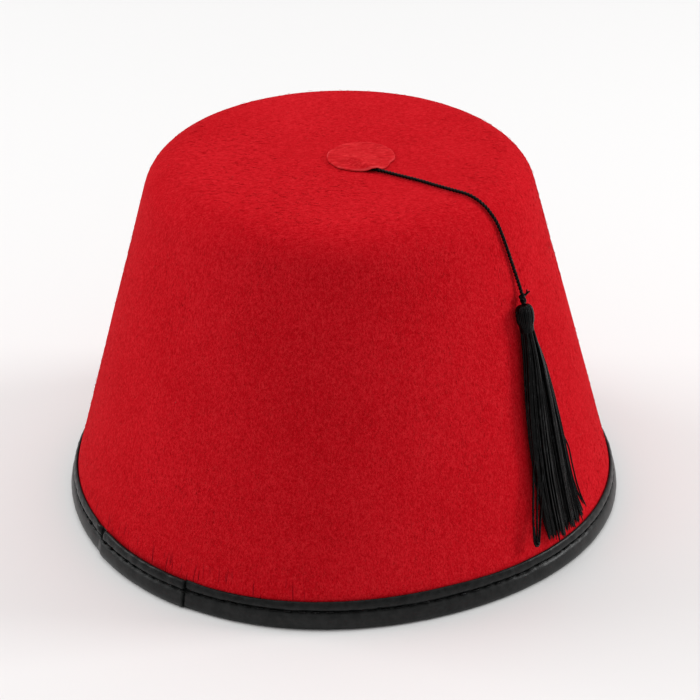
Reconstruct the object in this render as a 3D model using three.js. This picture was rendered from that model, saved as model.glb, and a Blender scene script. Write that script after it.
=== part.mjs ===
// A fez: a tapered crown of stiff red felt, open below, with a folded black binding sewn round its rim,
// a round felt patch on top, and a black tassel that hangs from a thin cord down one side.
// Millimetres, +Z up. The rim stands on z = 0 and the crown's axis is the Z axis. The front faces -Y.

import * as THREE from "three";

// Crown
const CROWN_HEIGHT = 124.8; // top of the felt above the surface it stands on
const WALL_FOOT_RADIUS = 96.45; // the outer wall's straight line, carried down to z = 0
const TAPER_DEG = 15.25; // the wall leans in by this much
const TOP_CORNER_RADIUS = 62.4; // where the wall's line would meet the flat top
const SHOULDER_RADIUS = 14.4;
const FELT = 2.2; // felt thickness
const FELT_FOOT_Z = 1.3; // the felt's cut edge, inside the binding
const FELT_FOOT_ROUND = 0.7;
const PINCH = 0.5; // how far the sewn binding presses the felt in
const PINCH_TOP_Z = 10.2;
const PINCH_FULL_Z = 7.6;
const SEGMENTS = 72; // round the hat
const SHOULDER_STEPS = 7;

// The rim isn't quite round. Each row swells and hollows it by `out`, with `lobes` peaks round the hat,
// the first at `peakDeg` from +X. The effect fades to nothing at the top.
const RIM_SWELLS = [
  { lobes: 2, out: 0.78, peakDeg: 45 },
  { lobes: 4, out: 0.84, peakDeg: -24 },
];

// Binding: a strip folded round the felt's edge. Each row is a point of its section, from the outer lip down,
// under the fold and up the inner leaf, and then back along the felt. `from` is the face that `out` is
// measured from, outwards: the felt's outer line or its inner line.
const GAP = 0.3; // between pieces that touch
const BINDING_SECTION = [
  { name: "lip inside", from: "outer", out: 0.3, z: 9.6 },
  { name: "lip top", from: "outer", out: 0.7, z: 9.7 },
  { name: "lip edge", from: "outer", out: 1.0, z: 9.35 },
  { name: "lip face", from: "outer", out: 1.1, z: 8.2 },
  { name: "above stitches", from: "outer", out: 0.85, z: 7.0 },
  { name: "stitch groove", from: "outer", out: 0.5, z: 6.4 },
  { name: "below stitches", from: "outer", out: 0.75, z: 5.8 },
  { name: "flare", from: "outer", out: 0.8, z: 4.2 },
  { name: "fold widest", from: "outer", out: 0.62, z: 2.1 },
  { name: "fold low", from: "outer", out: 0.25, z: 0.9 },
  { name: "fold under", from: "outer", out: -0.5, z: 0.25 },
  { name: "rest outside", from: "outer", out: -1.3, z: 0 },
  { name: "rest inside", from: "outer", out: -3.1, z: 0 },
  { name: "fold in", from: "inner", out: -1.1, z: 0.8 },
  { name: "inner leaf foot", from: "inner", out: -1.2, z: 2.4 },
  { name: "inner leaf top", from: "inner", out: -1.1, z: 8.2 },
  { name: "inner leaf edge", from: "inner", out: -0.35, z: 8.4 },
  { name: "inner leaf back", from: "inner", out: -0.35, z: 2.2 },
  { name: "felt foot inside", from: "inner", out: 0.1, z: 0.95 },
  { name: "felt foot outside", from: "outer", out: -1.2, z: 0.95 },
  { name: "felt pinched", from: "outer", out: -0.2, z: 2.0 },
  { name: "felt pinched top", from: "outer", out: -0.2, z: 7.4 },
];
const OUTER_FACE_POINTS = 10; // the first rows, which the lap pushes out

// Lap joint: one end of the strip covers the other. Angles from the front, positive towards +X.
const LAP_START_DEG = -59.5;
const LAP_END_DEG = -32.5;
const LAP_RISE_DEG = 2; // the strip climbs onto the lap over this angle
const LAP_STEP_DEG = 0.3; // and stops at a cut end
const LAP_OUT = 0.6;

// Patch on the top
const PATCH = { radius: 11.3, thick: 1.0, x: 7.2, y: -3.6, round: 0.3, segments: 40 };

// Cord: from the patch's edge over the shoulder to the knot, lying on the felt. Centreline points.
const CORD_DIAMETER = 1.3;
const CORD_SIDES = 8;
const CORD_STEPS = 30;
const CORD_ROUTE = [
  [12.0, -15.0, 125.7],
  [13.9, -16.0, 125.7],
  [16.3, -17.5, 125.7],
  [20.3, -20.1, 125.7],
  [25.7, -23.5, 125.7],
  [31.8, -28.0, 125.7],
  [36.5, -31.3, 125.7],
  [40.4, -33.9, 125.6],
  [43.3, -35.9, 124.9],
  [46.0, -37.8, 123.35],
  [48.1, -39.3, 121.3],
  [50.1, -40.5, 118.4],
  [51.7, -41.1, 114.7],
  [53.4, -41.1, 109.8],
  [55.1, -41.2, 104.5],
  [56.8, -41.6, 99.3],
  [58.2, -42.5, 95.1],
];

// Tassel: it hangs down the wall on the front right. Along the wall, heights are measured up its slope from
// the foot line; `off` is the distance out from the felt and `aside` the distance round it, to the right.
const TASSEL_DEG = 51.5; // from the front, towards +X
const TASSEL_SIDES = 16;
const KNOT = { up: 95.8, off: 1.8, aside: 2.9, radius: 1.35, stretch: 1.25 };
const HEAD = { top: 93.9, off: 3.4, aside: 0.2 };
const HEAD_PROFILE = [
  { down: 0, radius: 1.5 },
  { down: 0.5, radius: 2.35 },
  { down: 1.6, radius: 2.8 },
  { down: 3.6, radius: 2.95 },
  { down: 5.6, radius: 2.8 },
  { down: 7.0, radius: 2.4 },
];
const WRAP = { top: 86.6, height: 1.4, radius: 2.5, off: 3.3, aside: -0.2 };
const SKIRT_TOP = 84.9;
const SKIRT_SECTIONS = [
  { down: 0, width: 4.6, thick: 4.4, off: 3.2, aside: -0.2 },
  { down: 6, width: 7.0, thick: 5.0, off: 3.2, aside: -0.2 },
  { down: 14, width: 11.2, thick: 5.2, off: 3.2, aside: -0.3 },
  { down: 24, width: 14.8, thick: 5.2, off: 3.2, aside: -0.7 },
  { down: 36, width: 18.0, thick: 4.9, off: 3.1, aside: -1.0 },
  { down: 50, width: 19.8, thick: 4.4, off: 3.0, aside: -1.4 },
  { down: 62, width: 20.8, thick: 4.0, off: 3.1, aside: -1.5 },
  { down: 74, width: 20.2, thick: 3.0, off: 3.4, aside: -1.8 },
];

const radians = THREE.MathUtils.degToRad;
const TAPER = radians(TAPER_DEG);

// The felt's outer face at a height, before the rim's swells.
function wallRadius(z) {
  return WALL_FOOT_RADIUS - z * Math.tan(TAPER);
}

// The felt's inner face at a height.
function liningRadius(z) {
  return wallRadius(z) - FELT / Math.cos(TAPER);
}

// How far the felt's outer face is pressed in under the binding.
function pinchAt(z) {
  return PINCH * THREE.MathUtils.clamp((PINCH_TOP_Z - z) / (PINCH_TOP_Z - PINCH_FULL_Z), 0, 1);
}

// Moves a shape's points in or out with the rim's swells.
function swellRim(geometry) {
  const position = geometry.getAttribute("position");
  for (let i = 0; i < position.count; i += 1) {
    const x = position.getX(i);
    const y = position.getY(i);
    const radius = Math.hypot(x, y);
    if (radius < 1e-6) continue;
    const fade = 1 - THREE.MathUtils.clamp(position.getZ(i) / CROWN_HEIGHT, 0, 1);
    const angle = Math.atan2(y, x);
    let out = 0;
    for (const row of RIM_SWELLS) {
      out += row.out * Math.cos(row.lobes * (angle - radians(row.peakDeg)));
    }
    const scale = 1 + (out * fade) / radius;
    position.setXY(i, x * scale, y * scale);
  }
  geometry.computeVertexNormals();
  return geometry;
}

// Shoulder arc between the flat top and the leaning wall, for a face `inset` inside the outer one.
function shoulderPoints(inset) {
  const turn = Math.PI / 2 - TAPER;
  const flatRadius = TOP_CORNER_RADIUS - SHOULDER_RADIUS * Math.tan(turn / 2);
  const centreZ = CROWN_HEIGHT - SHOULDER_RADIUS;
  const points = [];
  for (let i = 0; i <= SHOULDER_STEPS; i += 1) {
    const angle = Math.PI / 2 - (turn * i) / SHOULDER_STEPS;
    const reach = SHOULDER_RADIUS - inset;
    points.push(new THREE.Vector2(
      flatRadius + reach * Math.cos(angle),
      centreZ + reach * Math.sin(angle),
    ));
  }
  return points;
}

// A profile of (radius, height) turned about the Z axis.
function turned(profile, segments) {
  return new THREE.LatheGeometry(profile, segments).rotateX(Math.PI / 2);
}

function crownGeometry() {
  const outerLow = [PINCH_TOP_Z, PINCH_FULL_Z, FELT_FOOT_Z + FELT_FOOT_ROUND].map(
    (z) => new THREE.Vector2(wallRadius(z) - pinchAt(z), z),
  );
  const foot = [
    new THREE.Vector2(wallRadius(FELT_FOOT_Z) - PINCH - FELT_FOOT_ROUND, FELT_FOOT_Z),
    new THREE.Vector2(liningRadius(FELT_FOOT_Z) + FELT_FOOT_ROUND / 2, FELT_FOOT_Z),
    new THREE.Vector2(liningRadius(FELT_FOOT_Z + FELT_FOOT_ROUND), FELT_FOOT_Z + FELT_FOOT_ROUND),
  ];
  const profile = [
    new THREE.Vector2(0, CROWN_HEIGHT),
    ...shoulderPoints(0),
    ...outerLow,
    ...foot,
    ...shoulderPoints(FELT).reverse(),
    new THREE.Vector2(0, CROWN_HEIGHT - FELT),
  ];
  return swellRim(turned(profile.reverse(), SEGMENTS));
}

// How far the lap pushes the binding's outer face out at an angle from the front.
function lapAt(degrees) {
  const rise = (degrees - LAP_START_DEG) / LAP_RISE_DEG;
  const fall = (LAP_END_DEG - degrees) / LAP_STEP_DEG;
  return LAP_OUT * THREE.MathUtils.clamp(Math.min(rise, fall), 0, 1);
}

// Closed ring, lofted through one closed section per angle. Angles are from the front, in degrees.
function loftRing(angles, sectionAt) {
  const positions = [];
  const index = [];
  const sections = angles.map((degrees) => sectionAt(degrees));
  const count = sections[0].length;
  sections.forEach((section, station) => {
    const angle = radians(angles[station]);
    for (const point of section) {
      positions.push(point.x * Math.sin(angle), -point.x * Math.cos(angle), point.y);
    }
  });
  for (let station = 0; station < angles.length; station += 1) {
    const next = (station + 1) % angles.length;
    for (let i = 0; i < count; i += 1) {
      const j = (i + 1) % count;
      const a = station * count + i;
      const b = station * count + j;
      const c = next * count + j;
      const d = next * count + i;
      index.push(a, b, d, b, c, d);
    }
  }
  const geometry = new THREE.BufferGeometry();
  geometry.setAttribute("position", new THREE.Float32BufferAttribute(positions, 3));
  geometry.setIndex(index);
  return geometry;
}

function bindingSection(degrees) {
  const lap = lapAt(degrees);
  return BINDING_SECTION.map((row, place) => {
    const face = row.from === "outer" ? wallRadius(row.z) : liningRadius(row.z);
    const push = place > 0 && place < OUTER_FACE_POINTS ? lap : 0;
    return new THREE.Vector2(face + row.out + push, row.z);
  });
}

function bindingGeometry() {
  const angles = [
    LAP_START_DEG,
    LAP_START_DEG + LAP_RISE_DEG,
    LAP_END_DEG - LAP_STEP_DEG,
    LAP_END_DEG,
  ];
  for (let i = 0; i < SEGMENTS; i += 1) {
    angles.push(-180 + (360 * i) / SEGMENTS);
  }
  angles.sort((a, b) => a - b);
  return swellRim(loftRing(angles, bindingSection));
}

function patchGeometry() {
  const edge = PATCH.radius - PATCH.round;
  const profile = [
    new THREE.Vector2(0, 0),
    new THREE.Vector2(edge, 0),
    new THREE.Vector2(PATCH.radius, PATCH.round),
    new THREE.Vector2(PATCH.radius, PATCH.thick - PATCH.round),
    new THREE.Vector2(edge, PATCH.thick),
    new THREE.Vector2(0, PATCH.thick),
  ];
  return turned(profile, PATCH.segments);
}

function cordGeometry() {
  const route = new THREE.CatmullRomCurve3(CORD_ROUTE.map((point) => new THREE.Vector3(...point)));
  const section = new THREE.Shape();
  for (let i = 0; i < CORD_SIDES; i += 1) {
    const angle = (2 * Math.PI * i) / CORD_SIDES;
    const x = (CORD_DIAMETER / 2) * Math.cos(angle);
    const y = (CORD_DIAMETER / 2) * Math.sin(angle);
    if (i === 0) section.moveTo(x, y);
    else section.lineTo(x, y);
  }
  section.closePath();
  return new THREE.ExtrudeGeometry(section, {
    steps: CORD_STEPS,
    bevelEnabled: false,
    extrudePath: route,
  });
}

function headGeometry() {
  const last = HEAD_PROFILE[HEAD_PROFILE.length - 1];
  const profile = [
    new THREE.Vector2(0, 0),
    ...HEAD_PROFILE.map((row) => new THREE.Vector2(row.radius, -row.down)),
    new THREE.Vector2(0, -last.down),
  ];
  return turned(profile.reverse(), TASSEL_SIDES);
}

function wrapGeometry() {
  return new THREE.CylinderGeometry(
    WRAP.radius, WRAP.radius, WRAP.height, TASSEL_SIDES,
  ).rotateX(Math.PI / 2);
}

// Solid through flattened round sections, from the neck down to the thread ends.
function skirtGeometry() {
  const positions = [];
  const index = [];
  const rings = SKIRT_SECTIONS.length;
  for (const row of SKIRT_SECTIONS) {
    for (let i = 0; i < TASSEL_SIDES; i += 1) {
      const angle = (2 * Math.PI * i) / TASSEL_SIDES;
      positions.push(
        row.aside + (row.width / 2) * Math.cos(angle),
        -row.off + (row.thick / 2) * Math.sin(angle),
        SKIRT_TOP - row.down,
      );
    }
  }
  for (let ring = 0; ring < rings - 1; ring += 1) {
    for (let i = 0; i < TASSEL_SIDES; i += 1) {
      const j = (i + 1) % TASSEL_SIDES;
      const a = ring * TASSEL_SIDES + i;
      const b = ring * TASSEL_SIDES + j;
      index.push(a, a + TASSEL_SIDES, b);
      index.push(b, a + TASSEL_SIDES, b + TASSEL_SIDES);
    }
  }
  const low = (rings - 1) * TASSEL_SIDES;
  for (let i = 1; i < TASSEL_SIDES - 1; i += 1) {
    index.push(0, i, i + 1);
    index.push(low, low + i + 1, low + i);
  }
  const geometry = new THREE.BufferGeometry();
  geometry.setAttribute("position", new THREE.Float32BufferAttribute(positions, 3));
  geometry.setIndex(index);
  geometry.computeVertexNormals();
  return geometry;
}

function knotGeometry() {
  return new THREE.SphereGeometry(KNOT.radius, TASSEL_SIDES, 10).scale(1, 1, KNOT.stretch);
}

const redFelt = { color: 0xb3101b, roughness: 0.95, metalness: 0 };
const patchFelt = { color: 0xc9202c, roughness: 0.95, metalness: 0 };
const blackLeather = { color: 0x1c1e1f, roughness: 0.45, metalness: 0 };
const blackThread = { color: 0x0a0a0b, roughness: 0.6, metalness: 0 };

function piece(name, geometry, finish) {
  const mesh = new THREE.Mesh(geometry, new THREE.MeshStandardMaterial(finish));
  mesh.name = name;
  return mesh;
}

const hat = new THREE.Group();
hat.add(piece("crown", crownGeometry(), redFelt));
hat.add(piece("rim_binding", bindingGeometry(), blackLeather));

const patch = piece("top_disc", patchGeometry(), patchFelt);
patch.position.set(PATCH.x, PATCH.y, CROWN_HEIGHT + GAP);
hat.add(patch);

hat.add(piece("tassel_cord", cordGeometry(), blackThread));

// The tassel's own frame: origin at the foot of the wall, Z up the slope, -Y out from the felt.
const tassel = new THREE.Group();
const tasselAngle = radians(TASSEL_DEG);
tassel.rotation.order = "ZYX";
tassel.rotation.set(-TAPER, 0, tasselAngle);
tassel.position.set(
  WALL_FOOT_RADIUS * Math.sin(tasselAngle),
  -WALL_FOOT_RADIUS * Math.cos(tasselAngle),
  0,
);
hat.add(tassel);

const knot = piece("cord_knot", knotGeometry(), blackThread);
knot.position.set(KNOT.aside, -KNOT.off, KNOT.up);
tassel.add(knot);

const head = piece("tassel_head", headGeometry(), blackThread);
head.position.set(HEAD.aside, -HEAD.off, HEAD.top);
tassel.add(head);

const wrap = piece("tassel_wrap", wrapGeometry(), blackThread);
wrap.position.set(WRAP.aside, -WRAP.off, WRAP.top - WRAP.height / 2);
tassel.add(wrap);

tassel.add(piece("tassel_skirt", skirtGeometry(), blackThread));

export default hat;
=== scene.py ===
# A fez: a tapered red felt crown with a black binding sewn round its rim, a round felt patch on top, and a
# black tassel that hangs from a thin cord. Metres, +Z up; the rim stands on z = 0 and the front faces -Y.

import math
import random

import bpy
import numpy as np
from mathutils import Matrix, Vector, noise


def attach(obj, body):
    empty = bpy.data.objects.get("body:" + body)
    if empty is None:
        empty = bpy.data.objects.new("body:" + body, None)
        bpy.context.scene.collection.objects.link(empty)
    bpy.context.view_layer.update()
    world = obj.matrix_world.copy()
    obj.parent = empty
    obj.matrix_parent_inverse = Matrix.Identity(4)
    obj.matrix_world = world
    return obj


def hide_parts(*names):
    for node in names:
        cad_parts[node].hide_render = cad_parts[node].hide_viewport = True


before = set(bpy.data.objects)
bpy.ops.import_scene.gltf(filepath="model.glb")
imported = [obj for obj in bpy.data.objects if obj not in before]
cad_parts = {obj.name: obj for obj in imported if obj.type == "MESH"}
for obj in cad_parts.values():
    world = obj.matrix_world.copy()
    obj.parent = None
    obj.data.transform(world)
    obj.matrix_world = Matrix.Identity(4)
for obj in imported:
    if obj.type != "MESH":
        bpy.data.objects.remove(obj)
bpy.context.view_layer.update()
bpy.ops.object.select_all(action="DESELECT")


# ---- Camera ----
# A long lens looks down on the front of the hat, with a very slight turn of the frame.

CAMERA_AT = (0.00283, -0.7545, 0.4621)
CAMERA_PITCH = math.radians(61.384)  # up from straight down
CAMERA_ROLL = math.radians(-0.624)
CAMERA_LENS = 127.44  # millimetres
CAMERA_SENSOR = 36.0

bpy.ops.object.camera_add(location=CAMERA_AT)
camera = bpy.context.object
camera.name = "studio_camera"
camera.rotation_euler = (
    Matrix.Rotation(CAMERA_PITCH, 3, "X") @ Matrix.Rotation(CAMERA_ROLL, 3, "Z")
).to_euler()
camera.data.lens = CAMERA_LENS
camera.data.sensor_width = CAMERA_SENSOR
camera.data.clip_start = 0.02
camera.data.clip_end = 20.0
bpy.context.scene.camera = camera
bpy.context.scene.view_settings.view_transform = "Standard"


# ---- Tassel cord ----
# Three black yarns twisted to a cord 1.3 mm thick. It comes out from under the felt patch and runs over the
# top and the shoulder to the knot. Its end goes down inside the tassel, and the threads are tied to it.

MM = 0.001
CORD_DIAMETER = 1.3 * MM
CORD_LOBES = 3  # one for each yarn
CORD_GROOVE = 0.19  # how deep the grooves between the yarns go in, as a share of the cord's radius
CORD_CORNERS = 18  # of its cross-section
CORD_TURN = 3.6 * MM  # length of one full turn of the twist
CORD_STEP = 0.3 * MM
CORD_UNDER_PATCH = [(4.6, -7.6, 125.5), (7.4, -10.6, 125.5), (9.9, -13.2, 125.6)]
CORD_ROUTE = [
    (12.0, -15.0, 125.7), (13.9, -16.0, 125.7), (16.3, -17.5, 125.7), (20.3, -20.1, 125.7),
    (25.7, -23.5, 125.7), (31.8, -28.0, 125.7), (36.5, -31.3, 125.7), (40.4, -33.9, 125.6),
    (43.3, -35.9, 124.9), (46.0, -37.8, 123.35), (48.1, -39.3, 121.3), (50.1, -40.5, 118.4),
    (51.7, -41.1, 114.7), (53.4, -41.1, 109.8), (55.1, -41.2, 104.5), (56.8, -41.6, 99.3),
    (58.2, -42.5, 95.1),
]
# In the tassel's own frame: aside, off the felt, and up the wall's slope from its foot.
CORD_IN_TASSEL = [
    (2.3, 2.2, 95.4), (1.2, 3.1, 93.2), (0.5, 3.4, 90), (-0.2, 3.3, 86), (-0.3, 3.2, 74), (-0.6, 3.2, 58),
]

WALL_FOOT = 96.45 * MM  # the felt wall's outer line, carried down to z = 0
TAPER = math.radians(15.25)
TASSEL_TURN = math.radians(51.5)  # from the front, towards +X


def wall_radius(height):
    """The felt's outer face at a height, before the rim's swells."""
    return WALL_FOOT - height * math.tan(TAPER)


def on_wall(aside, off, up):
    """A point by the tassel, in millimetres aside, off the felt and up its slope, as a place in metres."""
    sideways = Vector((math.cos(TASSEL_TURN), math.sin(TASSEL_TURN), 0))
    outwards = Vector((math.sin(TASSEL_TURN), -math.cos(TASSEL_TURN), 0))
    off_face = outwards * math.cos(TAPER) + Vector((0, 0, math.sin(TAPER)))
    up_slope = -outwards * math.sin(TAPER) + Vector((0, 0, math.cos(TAPER)))
    return outwards * WALL_FOOT + (sideways * aside + off_face * off + up_slope * up) * MM


def smooth_line(points, step, parts=12):
    """Evenly spaced points on one smooth curve through the given ones, worked out in parts between them."""
    through = [Vector(point) for point in points]
    through = [2 * through[0] - through[1], *through, 2 * through[-1] - through[-2]]
    fine = []
    for a, b, c, d in zip(through, through[1:], through[2:], through[3:]):
        for i in range(parts):
            t = i / parts
            bend = 2 * a - 5 * b + 4 * c - d
            turn = 3 * b - a - 3 * c + d
            fine.append(b + (c - a) * (t / 2) + bend * (t * t / 2) + turn * (t ** 3 / 2))
    fine.append(through[-2])
    place = np.array(fine)
    run = np.concatenate([[0], np.cumsum(np.linalg.norm(np.diff(place, axis=0), axis=1))])
    even = np.linspace(0, run[-1], max(3, round(run[-1] / step) + 1))
    return np.stack([np.interp(even, run, place[:, axis]) for axis in range(3)], axis=1)


def face_outwards():
    """Turns the active mesh's faces outwards."""
    bpy.ops.object.mode_set(mode="EDIT")
    bpy.ops.mesh.select_all(action="SELECT")
    bpy.ops.mesh.normals_make_consistent(inside=False)
    bpy.ops.object.mode_set(mode="OBJECT")


def mark_points(body, name, values):
    """Stores a number for each of a mesh's vertices, for its material to read."""
    attribute = body.data.attributes.new(name, "FLOAT", "POINT")
    attribute.data.foreach_set("value", values.astype(np.float32))


def lay_threads(name, lines, radius, closed=False, twist=None, section=None, end_taper=1.0):
    """One mesh of threads that follow lines, each closed at its ends. Threads are round unless a section is
    given, and end_taper thins each line's last point."""
    curve = bpy.data.curves.new(name, "CURVE")
    curve.dimensions = "3D"
    curve.bevel_depth = radius
    curve.bevel_resolution = 1
    curve.use_fill_caps = True
    if section is not None:
        curve.bevel_mode = "OBJECT"
        curve.bevel_object = section
    for line in lines:
        spline = curve.splines.new("POLY")
        spline.points.add(len(line) - 1)
        spline.points.foreach_set("co", np.column_stack([line, np.ones(len(line))]).ravel())
        spline.use_cyclic_u = closed
        spline.points[-1].radius = end_taper
        if twist is not None:
            spline.points.foreach_set("tilt", twist)
    bpy.ops.object.select_all(action="DESELECT")
    threads = bpy.data.objects.new(name, curve)
    bpy.context.collection.objects.link(threads)
    bpy.context.view_layer.objects.active = threads
    threads.select_set(True)
    bpy.ops.object.convert(target="MESH")
    threads = bpy.context.object
    bpy.ops.object.mode_set(mode="EDIT")
    bpy.ops.mesh.select_all(action="SELECT")
    bpy.ops.mesh.remove_doubles(threshold=0.001 * MM)
    bpy.ops.mesh.normals_make_consistent(inside=False)
    bpy.ops.object.mode_set(mode="OBJECT")
    bpy.ops.object.shade_smooth_by_angle(angle=math.radians(60))
    return threads


def place_node(tree, kind, inputs, **settings):
    """A shader node with its settings, and with its inputs joined to sockets or set to values."""
    made = tree.nodes.new(kind)
    for key, value in settings.items():
        setattr(made, key, value)
    for key, value in inputs.items():
        if isinstance(value, bpy.types.NodeSocket):
            tree.links.new(value, made.inputs[key])
        else:
            made.inputs[key].default_value = value
    return made


def new_finish(name, inputs):
    """A material, its node tree and its main shader, with the shader's inputs set to values."""
    material = bpy.data.materials.new(name)
    material.use_nodes = True
    tree = material.node_tree
    shader = tree.nodes["Principled BSDF"]
    for key, value in inputs.items():
        shader.inputs[key].default_value = value
    return material, tree, shader


def emboss(tree, shader, height, distance, strength):
    """Gives the shader a fine relief."""
    bump = place_node(tree, "ShaderNodeBump", {"Height": height, "Distance": distance, "Strength": strength})
    tree.links.new(bump.outputs["Normal"], shader.inputs["Normal"])


def colour_steps(tree, value, stops):
    """The colour at each value, blended between stops of (value, colour)."""
    ramp = place_node(tree, "ShaderNodeValToRGB", {"Fac": value})
    ramp.color_ramp.elements[0].position = stops[0][0]
    ramp.color_ramp.elements[0].color = (*stops[0][1], 1)
    ramp.color_ramp.elements[1].position = stops[-1][0]
    ramp.color_ramp.elements[1].color = (*stops[-1][1], 1)
    for position, colour in stops[1:-1]:
        ramp.color_ramp.elements.new(position).color = (*colour, 1)
    return ramp.outputs["Color"]


def thread_finish(name, dark, middle, light, twist_scale, gloss, painted_ridge_light=None):
    """Black floss: soft gloss along fine twisted yarns, each a little lighter or darker."""
    material, tree, shader = new_finish(name, {"Roughness": 0.27, "Specular IOR Level": gloss})
    place = tree.nodes.new("ShaderNodeTexCoord").outputs["Object"]
    yarns = place_node(tree, "ShaderNodeMapping", {"Vector": place, "Scale": (1, 1, 0.05)})
    tones = place_node(
        tree, "ShaderNodeTexNoise", {"Vector": yarns.outputs["Vector"], "Scale": 1500, "Detail": 2}
    )
    tone = tones.outputs["Fac"]
    if painted_ridge_light is not None:
        # Painted light and shade: the yarns' tops are painted lighter and the grooves between them darker.
        painted_crown_light = place_node(tree, "ShaderNodeAttribute", {}, attribute_name=painted_ridge_light)
        both = place_node(tree, "ShaderNodeMix", {"Factor": 0.75, "A": tone, "B": painted_crown_light.outputs["Fac"]})
        tone = both.outputs["Result"]
    colour = colour_steps(tree, tone, [(0.42, dark), (0.58, middle), (0.74, light)])
    tree.links.new(colour, shader.inputs["Base Color"])
    twist = place_node(
        tree, "ShaderNodeTexWave", {"Vector": place, "Scale": twist_scale, "Distortion": 0.6},
        wave_type="BANDS", bands_direction="DIAGONAL",
    )
    emboss(tree, shader, twist.outputs["Fac"], 0.05 * MM, 0.5)
    return material


cord_line = smooth_line(
    [Vector(point) * MM for point in CORD_UNDER_PATCH + CORD_ROUTE]
    + [on_wall(*point) for point in CORD_IN_TASSEL],
    CORD_STEP,
)
cord_run = np.arange(len(cord_line)) * CORD_STEP

yarn_section = bpy.data.curves.new("yarn_section", "CURVE")
yarn_section.dimensions = "2D"
yarn_outline = yarn_section.splines.new("POLY")
yarn_outline.points.add(CORD_CORNERS - 1)
for i, corner in enumerate(yarn_outline.points):
    angle = 2 * math.pi * i / CORD_CORNERS
    reach = CORD_DIAMETER / 2 * (1 - CORD_GROOVE + CORD_GROOVE * math.cos(CORD_LOBES * angle))
    corner.co = (reach * math.cos(angle), reach * math.sin(angle), 0, 1)
yarn_outline.use_cyclic_u = True
yarn_section_object = bpy.data.objects.new("yarn_section", yarn_section)
bpy.context.collection.objects.link(yarn_section_object)

cord = lay_threads(
    "twisted_cord", [cord_line], 0, twist=2 * math.pi * cord_run / CORD_TURN, section=yarn_section_object
)
bpy.data.objects.remove(yarn_section_object)
# Painted light and shade on the cord: the yarns' tops, far from its middle line, are marked to be painted
# lighter and the grooves darker.
cord_places = np.array([vertex.co for vertex in cord.data.vertices])
cord_reach = np.array([np.linalg.norm(cord_line - place, axis=1).min() for place in cord_places])
mark_points(cord, "yarn_crown_painted_light", np.clip((cord_reach / CORD_DIAMETER - 0.34) / 0.15, 0, 1))
black_cord = thread_finish(
    "black_cord", (0.0003, 0.0003, 0.0003), (0.0015, 0.0012, 0.001), (0.0065, 0.004, 0.003),
    twist_scale=500, gloss=0.08, painted_ridge_light="yarn_crown_painted_light",
)
cord.data.materials.append(black_cord)
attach(cord, "root")
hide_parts("tassel_cord")


# ---- Cord knot ----
# The cord is tied in a small overhand knot above the tassel's head, and its cut end stands out as two frayed
# prongs beside it.

KNOT_AT = (2.3, 2.1, 95.5)
KNOT_SIZE = 0.42  # millimetres for each unit of the knot's figure, which is 6 units across
KNOT_DEPTH = 0.8  # of its crossings, and its height, against its width
KNOT_TALL = 1.15
KNOT_POINTS = 48
KNOT_YARN = 0.52 * MM
PRONG_YARN = 0.26 * MM

knot_line = []
for i in range(KNOT_POINTS):
    t = 2 * math.pi * i / KNOT_POINTS
    across = math.sin(t) + 2 * math.sin(2 * t)
    along = math.cos(t) - 2 * math.cos(2 * t)
    knot_line.append(on_wall(
        KNOT_AT[0] + KNOT_SIZE * across,
        KNOT_AT[1] - KNOT_SIZE * KNOT_DEPTH * math.sin(3 * t),
        KNOT_AT[2] + KNOT_SIZE * KNOT_TALL * along,
    ))
knot = lay_threads("overhand_knot", [knot_line], KNOT_YARN, closed=True)

cut_prongs = [
    [KNOT_AT, (3.1, 2.6, 96.3), (3.9, 2.9, 97.0), (4.2, 3.0, 97.9)],
    [KNOT_AT, (3.3, 2.5, 96.1), (4.4, 2.8, 96.5), (5.4, 2.9, 96.8)],
    [KNOT_AT, (3.0, 2.5, 96.2), (3.7, 2.9, 96.6), (4.5, 3.4, 97.1)],
]
knot_tail = lay_threads(
    "knot_tail", [smooth_line([on_wall(*p) for p in prong], 0.2 * MM) for prong in cut_prongs], PRONG_YARN
)
for piece in (knot, knot_tail):
    piece.data.materials.append(black_cord)
    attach(piece, "root")
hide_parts("cord_knot")


# ---- Tassel head ----
# The tassel's threads are folded over the cord, so that they lie side by side over a round shoulder and are
# tied in below it. A plain core fills the middle.

HEAD_THREADS = 26
HEAD_THREAD = 0.34 * MM
HEAD_TOP = 93.9
HEAD_CENTRE = [(0.3, 3.4), (-0.3, 3.3)]  # aside and off, at the top and at the tie
HEAD_TIE = 7.0  # down from the top
HEAD_SHAPE = [
    (0.05, 0.5), (0.1, 1.2), (0.45, 2.0), (1.2, 2.45), (2.4, 2.65), (3.8, 2.65), (5.2, 2.5), (6.4, 2.15),
    (7.6, 1.95),
]  # down from the top, and radius to the threads' middle
CORE_MIDDLE = 3.9  # down from the top
CORE_HALF = 3.7
CORE_RADIUS = 2.5


def head_point(down, radius, angle):
    """A place on the head, at an angle round it."""
    lean = min(down / HEAD_TIE, 1)
    aside = HEAD_CENTRE[0][0] * (1 - lean) + HEAD_CENTRE[1][0] * lean
    off = HEAD_CENTRE[0][1] * (1 - lean) + HEAD_CENTRE[1][1] * lean
    return on_wall(aside + radius * math.cos(angle), off + radius * math.sin(angle), HEAD_TOP - down)


random.seed(11)
folded_lines = []
for i in range(HEAD_THREADS):
    angle = 2 * math.pi * (i + random.uniform(-0.18, 0.18)) / HEAD_THREADS
    swell = random.uniform(-0.1, 0.12)
    folded = [head_point(down, radius + swell * min(radius / 2, 1), angle) for down, radius in HEAD_SHAPE]
    folded_lines.append(smooth_line(folded, 0.45 * MM))
head = lay_threads("folded_head", folded_lines, HEAD_THREAD)

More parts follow.
